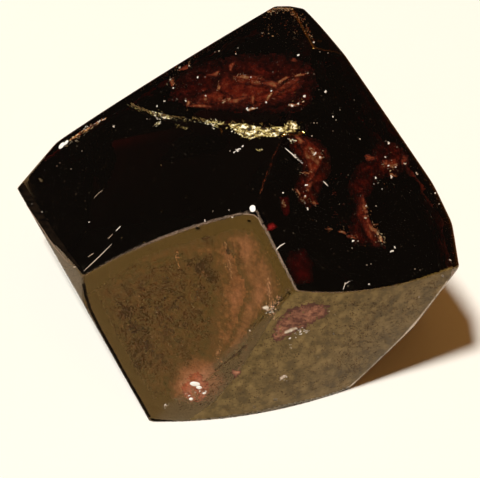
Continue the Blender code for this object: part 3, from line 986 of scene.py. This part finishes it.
# brown stains on the polish of the lower left face, and a thinner film of them on both lower faces
patch(stain, [(92, 292), (120, 268), (170, 250), (212, 254), (226, 290), (222, 330), (198, 366), (158, 396), (136, 372), (112, 332)],
      3600, (0.05, 0.6), (-0.010, -0.003), 55, (0.020, 0.070), -0.02, 11, None, 26, 0.12)
patch(stain, [(180, 256), (212, 250), (222, 284), (196, 296)], 560, (0.0, 0.4), (-0.010, -0.003), 56, (0.020, 0.070), -0.1, 8, None, 10, 0.15)
patch(stain, [(112, 300), (146, 300), (156, 336), (118, 340)], 460, (0.0, 0.4), (-0.010, -0.003), 57, (0.020, 0.070), -0.1, 8, None, 10, 0.15)
patch(stain, [(120, 336), (152, 336), (158, 372), (132, 374)], 420, (0.0, 0.4), (-0.010, -0.003), 58, (0.020, 0.070), -0.1, 7, None, 8, 0.15)
patch(stain, [(202, 234), (216, 232), (218, 246), (204, 248)], 90, (0.0, 0.4), (-0.012, -0.004), 59, (0.016, 0.036), -0.1, 6, None, 4, 0.15)
patch(stain, [(228, 240), (240, 242), (244, 264), (236, 266)], 120, (0.0, 0.4), (-0.012, -0.004), 87, (0.016, 0.036), -0.1, 6, None, 4, 0.15)
patch(stain, [(296, 294), (380, 298), (448, 268), (436, 300), (346, 388), (240, 412), (160, 416), (196, 388), (250, 344), (270, 314)],
      3400, (0.1, 0.75), (-0.010, -0.003), 88, (0.018, 0.062), -0.05, 9, None, 8, 0.12)
patch(stain, [(352, 300), (400, 294), (452, 268), (440, 300), (400, 340), (346, 388), (330, 392), (340, 340)], 1500, (0.2, 0.8), (-0.010, -0.003),
      90, (0.020, 0.070), -0.15, 9, None, 5, 0.12)
patch(stain, [(88, 284), (160, 248), (250, 218), (292, 290), (210, 380), (156, 416)], 1500, (0.1, 0.7), (-0.012, -0.004), 89,
      (0.012, 0.030), -0.1, 8, None, 6, 0.15)
patch(tan, [(220, 250), (262, 240), (290, 292), (232, 366), (212, 356)], 300, (0.5, 1.0), (0.0, 0.25), 67, (0.012, 0.035), -0.15, 10)
patch(tan, [(296, 296), (440, 280), (346, 388), (180, 416), (262, 326)], 520, (0.35, 0.95), (0.0, 0.3), 68, (0.012, 0.034), -0.15, 12)
stroke(tan, [(225, 242), (229, 258), (232, 278)], 3.0, 90, (0.6, 0.95), (0.0, 0.06), 69, (0.02, 0.05))
stroke(tan, [(177, 252), (178, 268)], 2.5, 40, (0.5, 0.85), (0.0, 0.06), 70, (0.02, 0.05))
stroke(tan, [(268, 278), (270, 296), (272, 308)], 2.5, 80, (0.7, 1.0), (0.0, 0.05), 71, (0.02, 0.05))
stroke(tan, [(280, 296), (270, 308), (276, 320)], 5.0, 110, (0.7, 1.0), (0.0, 0.06), 72, (0.02, 0.06))
blob(specks_and_painted_light, 266, 308, 6.5, 4.4, 20, (0.5, 0.85), 351, (0.03, 0.04), 0.3, 0.011)
blob(specks_and_painted_light, 291, 330, 12, 3.6, -24, (0.45, 0.85), 352, (0.03, 0.04), 0.3, 0.011)
blob(specks_and_painted_light, 283, 377, 6, 3.2, -30, (0.5, 0.85), 353, (0.03, 0.04), 0.3, 0.011)
stroke(specks_and_painted_light, [(267, 312), (274, 310)], 5.0, 10, (0.6, 1.0), (-0.01, 0.02), 73, (0.03, 0.07))
stroke(specks_and_painted_light, [(290, 338), (298, 332), (308, 330)], 4.5, 24, (0.6, 1.0), (-0.02, -0.01), 74, (0.03, 0.08))
stroke(tan, [(276, 332), (290, 334), (306, 328)], 7.0, 110, (0.6, 0.95), (0.0, 0.08), 75, (0.02, 0.05))
stroke(specks_and_painted_light, [(280, 381), (287, 376)], 3.8, 14, (0.6, 1.0), (-0.01, 0.02), 76, (0.04, 0.08))
stroke(specks_and_painted_light, [(290, 344), (292, 349)], 2.0, 12, (0.6, 0.9), (-0.01, 0.02), 77, (0.03, 0.05))
blob(tan, 236, 373, 8, 7, 0, (0.56, 0.74), 78, (0.03, 0.04), 0.3, 0.010)
stroke(tan, [(246, 344), (244, 362), (238, 370)], 4.0, 60, (0.6, 0.95), (0.0, 0.06), 79, (0.02, 0.05))
stroke(tan, [(222, 362), (216, 356), (220, 346)], 4.0, 60, (0.6, 0.95), (0.0, 0.06), 80, (0.02, 0.05))
stroke(specks_and_painted_light, [(164, 406), (169, 404)], 3.0, 14, (0.5, 0.9), (-0.01, 0.01), 81, (0.03, 0.06))
stroke(rust, [(205, 382), (214, 375), (226, 364), (240, 353), (248, 340)], 2.2, 150, (0.05, 0.35), (-0.01, 0.02), 82, (0.03, 0.06))
stroke(rust, [(250, 336), (254, 322), (268, 312), (280, 300)], 1.8, 80, (0.05, 0.40), (-0.01, 0.02), 83, (0.03, 0.05))
for k, (line, width) in enumerate((
        ([(262, 320), (257, 326), (253, 332)], 2.0), ([(247, 344), (238, 353), (226, 362), (214, 371)], 4.2),
        ([(213, 373), (208, 378), (202, 383)], 2.6), ([(243, 330), (241, 336), (239, 342)], 2.4))):
    sheet(stain, ribbon(line, width), (0, 0), 360 + k, (0.25, 0.75), 1.4, (-35, 5, 3), 0.62, 0.0, None, 0.5, 0.02, 1.2, True)
# painted shade: dark ribbons along the left edge and the left tip (painted dark reflections) and along the floor
# contact (a painted contact shadow)
for k, (line, width) in enumerate((
        ([(83.5, 283), (86, 296), (90.5, 310), (98, 325), (106, 340), (114.5, 355), (122.5, 370), (131, 385), (140, 400), (150, 418)], 3.8),
        ([(150, 420), (180, 423), (220, 420), (270, 412), (310, 402), (344, 393)], 4.2),
        ([(20, 186), (18, 192), (22, 200)], 2.5))):
    sheet(painted_shade, ribbon(line, width), (0, 0), 370 + k, (0.0, 0.5), 0.6, (0, 8, 3), 0.22, 0.0, None, 0.6, 0.02, 1.0, True)
# painted shade: a dark film over the left sliver, standing in for the dark reflection along that rounded edge
sheet(painted_shade, [(17, 184), (24, 182), (34, 198), (54, 230), (74, 258), (85, 272), (85, 277), (80, 272), (71, 262), (61, 251), (50, 241), (38, 227), (22, 203)],
      (0, 0), 380, (0.0, 0.4), 0.6, (0, 8, 3), 0.2, 0.0, None, 0.7, 0.02, 1.0, True)
# painted highlight: a pale line along the rounded left edge
sheet(specks_and_painted_light, ribbon([(21, 196), (33, 215), (44, 231), (52, 243), (60, 252)], 1.3), (0, 0), 381, (0.10, 0.34), 0.5, (0, 8, 3), 0.3, 0.0,
      None, 0.5, 0.02, 1.0, True)
# the rounded corner in the middle with painted shade on it and a pale painted reflection line along it, and a pale
# painted reflection rim low on the right
sheet(painted_shade, [(240, 210), (250, 208), (258, 206), (268, 222), (262, 225.5), (258.5, 218), (254, 214.6), (248, 213.6), (242, 213.8)], (0, 0), 384, (0.0, 0.0),
      0.3, (0, 8, 3), 0.0, 0.0, None, 0.5, 0.02, 1.0, True)
sheet(specks_and_painted_light, ribbon([(243, 214.2), (248, 214), (254, 215), (258.5, 218.6), (262, 226)], 1.5), (0, 0), 385, (0.34, 0.44), 0.4, (0, 8, 3), 0.2, 0.0,
      None, 0.4, 0.02, 1.0, True)
sheet(specks_and_painted_light, ribbon([(349, 388), (366, 373), (384, 356), (402, 338), (418, 320), (434, 300), (448, 281)], 3.4), (0, 0), 386, (0.52, 0.74), 0.5,
      (0, 8, 3), 0.25, 0.0, None, 0.5, 0.02, 1.0, True)
# a painted reflection: a thin uneven olive-brown film on the lower right face, standing in for the floor mirrored in it
sheet(film, [(292, 290), (340, 292), (392, 286), (455, 264), (450, 286), (412, 331), (352, 387), (330, 396), (250, 414), (180, 424), (214, 400),
             (232, 378), (252, 348), (271, 317)], (0, 0), 387, (0.38, 0.84), 2.0, (-32, 12, 7), 0.30, 0.0, None, 1.2, 0.02, 1.1, 0.004)
sheet(tan, [(284, 302), (310, 296), (340, 300), (332, 320), (304, 336), (276, 350), (262, 340), (270, 320)], (0, 0), 388, (0.37, 0.50), 13.0,
      (-32, 9, 5), 0.45, 0.0, None, 0.9, 0.02, 0.9, 0.007)
blob(stain, 205, 239, 5.5, 3, 10, (0.25, 0.8), 382, (0, 0), 0.35, True)
blob(stain, 228, 250, 3, 7, -10, (0.25, 0.8), 383, (0, 0), 0.35, True)
# the sparkle low on the left, all painted light: white highlight beads and specks, and pink painted glow strokes around
# them
highlight_bead(specks_and_painted_light, 195, 384, 5.2, 3.8, 10, 1.3)
highlight_bead(specks_and_painted_light, 199, 387.5, 3.2, 2.8, 40, 1.3)
highlight_bead(specks_and_painted_light, 191, 399, 2.2, 2.4, 0, 1.3)
highlight_bead(specks_and_painted_light, 204.5, 393, 1.8, 1.6, 0, 1.25)
dots(specks_and_painted_light, [ (190, 395, 1.8, 1.1),
            (204, 393, 2.2, 1.1), (206, 391, 1.4, 1.0), (200, 391, 1.4, 1.0), (195, 392, 1.3, 1.0)], 84, -0.05)
stroke(sparkle_glow, [(186, 398), (190, 390), (197, 391), (206, 392)], 7.0, 70, (0.5, 0.95), (0.0, 0.05), 85, (0.02, 0.05))
stroke(sparkle_glow, [(190, 376), (203, 390), (196, 402)], 14.0, 60, (0.3, 0.7), (0.0, 0.08), 86, (0.015, 0.04))

# -- dust and lint on the faces
dots(specks_and_painted_light, [
    (229, 210, 1.2, 0.8), (232, 217, 1.3, 0.9), (205, 221, 1.5, 0.9), (177, 231, 1.0, 0.6), (345, 283, 1.2, 0.85),
    (348, 286, 1.0, 0.7), (369, 284, 1.3, 1.0), (367, 265, 1.0, 0.75), (371, 264, 1.0, 0.75), (298, 55, 1.8, 1.0),
    (262, 33, 1.0, 0.7), (238, 48, 1.1, 0.8), (236, 54, 1.1, 0.8), (219, 51, 1.3, 0.6), (215, 52, 1.0, 0.55),
    (198, 77, 1.7, 0.9), (205, 77, 0.9, 0.7), (180, 67, 1.5, 0.7), (189, 66, 1.3, 0.75), (173, 88, 1.5, 0.95), (171, 79, 1.3, 0.7),
    (165, 101, 1.3, 0.9), (157, 106, 1.4, 1.0), (177, 99, 0.9, 0.7), (186, 101, 1.4, 0.85), (206, 96, 1.3, 0.8), (245, 75, 1.0, 0.8),
    (251, 77, 1.3, 0.9), (273, 72, 1.0, 0.6), (308, 73, 1.2, 0.75), (314, 74, 0.9, 0.6), (271, 91, 1.8, 0.95), (266, 102, 1.8, 1.0),
    (248, 110, 2.0, 1.0), (253, 108, 1.4, 0.9), (257, 108, 1.2, 0.85), (304, 96, 1.9, 0.95), (298, 104, 1.5, 0.85),
    (292, 106, 1.8, 0.95), (289, 105, 1.2, 0.8), (325, 92, 1.7, 1.0), (314, 42, 1.4, 0.85), (320, 52, 0.9, 0.6), (328, 53, 0.9, 0.55),
    (314, 123, 1.2, 0.6), (317, 123, 1.0, 0.6), (333, 117, 1.4, 0.95), (336, 120, 1.0, 0.7), (340, 110, 0.8, 0.5),
    (360, 139, 1.2, 0.75), (389, 143, 1.7, 0.9), (386, 141, 0.9, 0.6), (385, 157, 1.3, 0.9), (397, 147, 1.0, 0.5), (388, 166, 1.8, 0.85),
    (396, 167, 1.4, 0.85), (405, 164, 1.3, 0.7), (392, 177, 1.8, 0.8), (376, 178, 1.4, 1.0), (374, 184, 1.2, 0.95), (378, 183, 0.9, 0.8),
    (382, 189, 1.2, 0.95), (417, 174, 1.4, 0.6), (435, 193, 1.4, 0.85), (439, 204, 1.2, 0.8), (366, 206, 1.3, 0.8), (376, 206, 1.0, 0.8),
    (366, 218, 1.4, 0.75), (325, 183, 1.3, 0.75), (306, 185, 2.0, 1.0), (305, 196, 1.4, 0.95), (305, 203, 1.2, 0.95), (308, 209, 1.5, 1.0),
    (283, 193, 1.6, 1.0), (353, 241, 2.2, 1.0), (358, 241, 1.1, 0.8), (352, 248, 1.0, 0.8), (392, 251, 2.2, 1.0), (395, 248, 1.6, 1.0),
    (315, 154, 1.8, 1.0), (320, 157, 1.3, 0.9), (333, 131, 0.9, 0.4), (312, 136, 1.2, 0.8), (415, 269, 1.2, 0.6), (420, 270, 1.0, 0.6),
    (450, 260, 1.4, 0.7), (42, 212, 1.3, 0.9), (32, 204, 1.1, 0.8), (89, 222, 1.3, 0.95), (71, 169, 1.1, 0.6), (77, 146, 1.1, 0.6),
    (82, 151, 1.1, 0.6), (114, 127, 1.7, 0.85), (63, 254, 1.2, 0.85), (75, 267, 1.6, 0.7), (76, 194, 0.9, 0.4), (54, 227, 0.9, 0.4),
    (57, 166, 1.2, 0.35), (60, 163, 1.0, 0.35), (121, 292, 1.1, 0.75), (157, 312, 1.2, 0.8), (243, 146, 1.9, 1.0), (237, 150, 2.1, 1.0),
    (230, 151, 1.1, 0.8), (157, 118, 1.6, 0.9), (165, 118, 1.6, 0.9), (213, 125, 1.8, 0.9), (419, 297, 1.1, 0.9), (357, 345, 1.0, 0.6),
    (329, 311, 1.3, 0.7), (273, 312, 1.6, 0.9), (250, 331, 1.3, 0.9), (277, 331, 1.2, 0.8), (196, 350, 0.9, 0.6), (152, 337, 0.9, 0.6),
    (180, 326, 1.0, 0.6), (147, 119, 1.0, 0.6),
], 91)
patch(specks_and_painted_light, [(20, 190), (62, 140), (290, 4), (440, 190), (455, 240), (300, 290), (254, 214), (84, 272)], 380, (0.12, 0.6),
      (-0.01, 0.0), 92, (0.008, 0.028), -0.3, 30, None, 3)
patch(specks_and_painted_light, [(84, 280), (254, 216), (296, 290), (452, 262), (346, 390), (154, 420)], 240, (0.3, 0.8), (-0.01, 0.0), 93,
      (0.008, 0.024), -0.3, 30, None, 3)


def thread(pixels, radius, tone, view=None):
    p, n, _d, hit = seen(chain(pixels, 1.5), view)
    if hit.sum() > 3:
        specks_and_painted_light.fibre(p[hit], n[hit], radius, tone)


thread([(84, 271), (98, 258), (112, 244)], 0.028, 0.62)
thread([(108, 239), (113, 234)], 0.024, 0.42)
thread([(116, 231), (121, 226)], 0.030, 0.8)
thread([(94, 198), (99, 193), (103, 190)], 0.018, 0.45)
thread([(88, 257), (94, 253)], 0.022, 0.5)
thread([(276, 250), (280, 246), (285, 243)], 0.030, 0.85)
thread([(285, 148), (292, 154), (297, 158)], 0.024, 0.9)
thread([(323, 181), (328, 186)], 0.026, 0.8)
thread([(343, 290), (345, 284), (350, 281)], 0.020, 0.75)
thread([(22, 198), (36, 219), (54, 246), (68, 262)], 0.024, 0.38)


# -- crumbs along the rubbed edges, partly a painted highlight line, with dark painted shade crumbs low down
def edge_crumbs_and_shade(seed):
    """Bruised, faintly pink edges in front, partly real bruising and partly a painted highlight line, and a dark
    painted shade line along the floor contact and the left edges.  Values: chance, tone, how far from the edge.
    """
    rs = np.random.default_rng(seed)
    order, even = two_faces(PLAIN)
    n = facing(PLAIN)
    # tone 0 marks the dark painted shade along the floor contact and the left edges
    rubbed = {
        frozenset(("upper_left", "lower_left")): (2.0, 0.36, 0.45), frozenset(("upper_right", "lower_left")): (2.6, 0.40, 0.38),
        frozenset(("upper_right", "lower_right")): (1.5, 0.28, 0.45), frozenset(("upper_left", "left_sliver")): (0.1, 0.30, 0.80),
        frozenset(("upper_left", "upper_right")): (0.03, 0.30, 0.8), frozenset(("lower_left", "lower_right")): (0.12, 0.36, 0.7),
        frozenset(("lower_left", "left_sliver")): (1.6, 0.0, 0.25), frozenset(("lower_left", "left_under")): (2.2, 0.0, 0.12),
        frozenset(("lower_left", "rest")): (2.4, 0.0, 0.08), frozenset(("lower_right", "rest")): (2.4, 0.0, 0.08),
        frozenset(("left_sliver", "left_under")): (1.0, 0.0, 0.4),
    }
    for i in np.nonzero((even > 0.08) & (POINTS[:, 2] > -MIDDLE_HEIGHT + 0.01))[0]:
        chance, tone, least = rubbed.get(frozenset((NAMES[order[i, 0]], NAMES[order[i, 1]])), (0.10, 0.36, 0.8))
        if even[i] < least:
            continue
        for _ in range(int(chance + rs.random())):
            size = rs.uniform(0.014, 0.034) * (1.3 if tone < 0.01 else 1.0)
            specks_and_painted_light.flakes([PLAIN[i] + rs.normal(0, 0.012, 3) - n[i] * 0.004], [n[i]], [size], [max(tone + rs.normal(0, 0.07), 0.0)], rs,
                        tilt=0.3, sides=4, thick=0.2)


edge_crumbs_and_shade(95)

# -- the sides and the back, which are like the front: veils, flecks and a little dust
for k, (azimuth, elevation) in enumerate(((90, 15), (0, 5), (180, 0), (60, -20), (120, -20), (90, 60), (-40, -10), (30, 30), (150, 30))):
    side = SideView(azimuth, elevation)
    rs = np.random.default_rng(200 + k)
    for j in range(4):
        cx, cy = rs.uniform(-90, 90), rs.uniform(-70, 70)
        turn = rs.uniform(0, math.pi)
        outline = []
        for i in range(9):
            t = math.tau * i / 9
            r = rs.uniform(0.6, 1.1)
            a, b = 44 * r * math.cos(t), 20 * r * math.sin(t)
            outline.append((cx + a * math.cos(turn) - b * math.sin(turn), cy + a * math.sin(turn) + b * math.cos(turn)))
        sheet(red if elevation > -5 else tan, outline, (0.3, 1.0), 210 + 10 * k + j, (0.1, 0.5), 12, (math.degrees(turn), 24, 9), 0.12,
              0.12, side, 2.2)
        patch(red, outline, 40, (0.4, 1.0), (0.0, 0.2), 260 + 10 * k + j, (0.015, 0.05), -0.1, 10, side)
    patch(specks_and_painted_light, [(-170, -150), (170, -150), (170, 150), (-170, 150)], 60, (0.3, 1.0), (-0.01, 0.0), 320 + k, (0.010, 0.05), -0.3, 30,
          side)

red.make("rusty_veils_and_painted_glint", VEIL_AND_GLINT)
tan.make("tan_veils_and_painted_glow", HAZE_AND_GLOW)
sparkle_glow.make("painted_sparkle", SPARKLE_GLOW)
glow.make("deep_red_lights", GLOW)
film.make("olive_painted_reflection", OLIVE_REFLECTION)
painted_shade.make("edge_painted_shade", PAINTED_SHADE)
stain.make("brown_stains", STAIN)
rust.make("crack_filling", RUST)
specks_and_painted_light.make("specks_lint_and_painted_light", SPECKS_AND_PAINTED_LIGHT)


# ------------------------------------------------------------------ stage, light and camera
def floor_material():
    material, tree, shader = new_material("pale_sheet")
    link = tree.links.new
    place = node(tree, "ShaderNodeTexCoord")
    tone = node(tree, "ShaderNodeTexNoise", Scale=18.0, Detail=3.0, Roughness=0.5)
    link(place.outputs["Object"], tone.inputs["Vector"])
    ramp = node(tree, "ShaderNodeValToRGB")
    ramp.color_ramp.elements[0].color = (0.93, 0.918, 0.855, 1.0)
    ramp.color_ramp.elements[1].color = (0.97, 0.958, 0.905, 1.0)
    link(tone.outputs["Fac"], ramp.inputs["Fac"])
    link(ramp.outputs["Color"], shader.inputs["Base Color"])
    shader.inputs["Roughness"].default_value = 0.9
    shader.inputs["Specular IOR Level"].default_value = 0.1
    return material


def floor_object():
    bm = bmesh.new()
    bmesh.ops.create_grid(bm, x_segments=2, y_segments=2, size=0.9)
    mesh = bpy.data.meshes.new("pale_floor")
    bm.to_mesh(mesh)
    bm.free()
    mesh.materials.append(floor_material())
    obj = bpy.data.objects.new("pale_floor", mesh)
    bpy.context.scene.collection.objects.link(obj)
    return obj


floor_object()


def area_light(name, direction, distance, size, power, colour, aim=(0, 0, 0.008)):
    data = bpy.data.lights.new(name, "AREA")
    data.shape = "DISK"
    data.size = size
    data.energy = power
    data.color = colour
    obj = bpy.data.objects.new(name, data)
    bpy.context.scene.collection.objects.link(obj)
    d = Vector(direction).normalized()
    obj.location = Vector(aim) + d * distance
    obj.rotation_euler = (-d).to_track_quat("-Z", "Y").to_euler()
    return obj


area_light("key", (-0.188, -0.272, 1.0), 1.0, 0.10, 10.8, (1.0, 0.98, 0.93))

world_data = bpy.data.worlds.new("dim_room")
bpy.context.scene.world = world_data
world_data.use_nodes = True
room = world_data.node_tree
looking = node(room, "ShaderNodeTexCoord")
apart = node(room, "ShaderNodeSeparateXYZ")
room.links.new(looking.outputs["Generated"], apart.inputs["Vector"])
panel = node(room, "ShaderNodeValToRGB")  # a soft panel overhead
panel.color_ramp.elements[0].position = 0.87
panel.color_ramp.elements[0].color = (0.018, 0.016, 0.017, 1.0)
panel.color_ramp.elements[1].position = 0.93
panel.color_ramp.elements[1].color = (0.56, 0.25, 0.05, 1.0)
room.links.new(apart.outputs["Z"], panel.inputs["Fac"])
warm = node(room, "ShaderNodeValToRGB")  # a warm wall on the right
warm.color_ramp.elements[0].position = 0.45
warm.color_ramp.elements[0].color = (0.0, 0.0, 0.0, 1.0)
warm.color_ramp.elements[1].position = 0.88
warm.color_ramp.elements[1].color = (0.50, 0.20, 0.02, 1.0)
room.links.new(apart.outputs["X"], warm.inputs["Fac"])
both = node(room, "ShaderNodeMix", data_type="RGBA", blend_type="ADD")
both.inputs[0].default_value = 1.0
room.links.new(panel.outputs["Color"], both.inputs[6])
room.links.new(warm.outputs["Color"], both.inputs[7])
room.links.new(both.outputs[2], room.nodes["Background"].inputs["Color"])

camera_data = bpy.data.cameras.new("view")
camera_data.sensor_fit = "HORIZONTAL"
camera_data.sensor_width = 36.0
camera_data.lens = 36.0 * FOCAL_PIXELS / 480.0
camera_data.clip_start = 0.005
camera_data.clip_end = 20.0
camera_data.dof.use_dof = False
camera = bpy.data.objects.new("view", camera_data)
bpy.context.scene.collection.objects.link(camera)
camera.matrix_world = Matrix((
    (RIGHT[0], UP[0], -FORWARD[0], 0.0),
    (RIGHT[1], UP[1], -FORWARD[1], 0.0),
    (RIGHT[2], UP[2], -FORWARD[2], 0.0),
    (0.0, 0.0, 0.0, 1.0),
))
camera.location = Vector(world(EYE))
bpy.context.scene.camera = camera

scene = bpy.context.scene
scene.view_settings.view_transform = "Standard"
scene.view_settings.look = "None"
scene.view_settings.exposure = 0.0
scene.view_settings.gamma = 1.0
